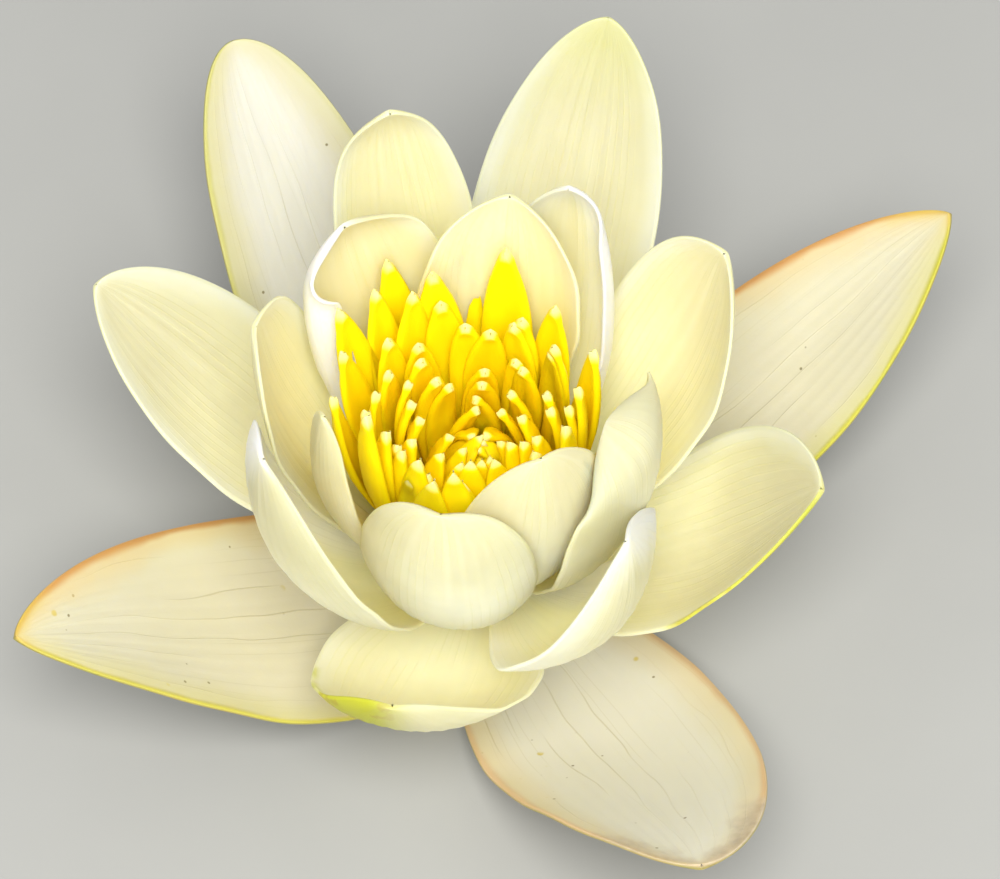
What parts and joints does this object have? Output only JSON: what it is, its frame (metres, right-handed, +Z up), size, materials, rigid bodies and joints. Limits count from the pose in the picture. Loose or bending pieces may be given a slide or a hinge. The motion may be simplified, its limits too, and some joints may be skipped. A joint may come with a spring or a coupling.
{
  "type": "water lily flower",
  "caption": "Cup-shaped pale yellow water lily bloom with spreading sepals and a crown of golden stamens, cut close under the flower and resting upright.",
  "frame": {"origin": "middle of the flower's outline in plan, on the surface that it rests on", "axes": "+Z up along the flower's axis, +X to the right and +Y away from a viewer at the front, where the short broad petal bows over the gap between the left and the front sepal"},
  "size_m": [0.102, 0.1014, 0.0507],
  "materials": {
    "sepal": "satin cream with fine brown veins and orange-brown to olive margins, green-brown on the back",
    "petal_outer": "satin pale greenish cream, translucent",
    "petal_middle": "satin pale creamy yellow, translucent",
    "petal_inner": "satin soft yellow, deeper towards the base, translucent",
    "stamen_outer": "satin bright yellow",
    "stamen_inner": "satin golden yellow with pale tips",
    "stigma": "moist yellow",
    "receptacle": "satin yellow-green with a paler cut"
  },
  "bodies": {
    "root": {"receptacle": "receptacle", "stigma_disc": "stigma", "sepal_left": "sepal", "sepal_front": "sepal", "sepal_right": "sepal", "sepal_back": "sepal", "petal_outer_left": "petal_outer", "petal_outer_back": "petal_outer", "petal_outer_right": "petal_outer", "petal_outer_front": "petal_outer", "petal_second_back": "petal_middle", "petal_second_right": "petal_middle", "petal_second_left": "petal_middle", "petal_second_front": "petal_middle", "petal_third_left": "petal_middle", "petal_third_back_right": "petal_middle", "petal_third_back_left": "petal_middle", "petal_third_right": "petal_middle", "petal_third_front": "petal_middle", "petal_inner_back": "petal_inner", "petal_inner_front": "petal_inner", "petal_inner_left": "petal_inner", "stamens_outer": "stamen_outer", "stamens_inner": "stamen_inner"}
  },
  "joints": []
}
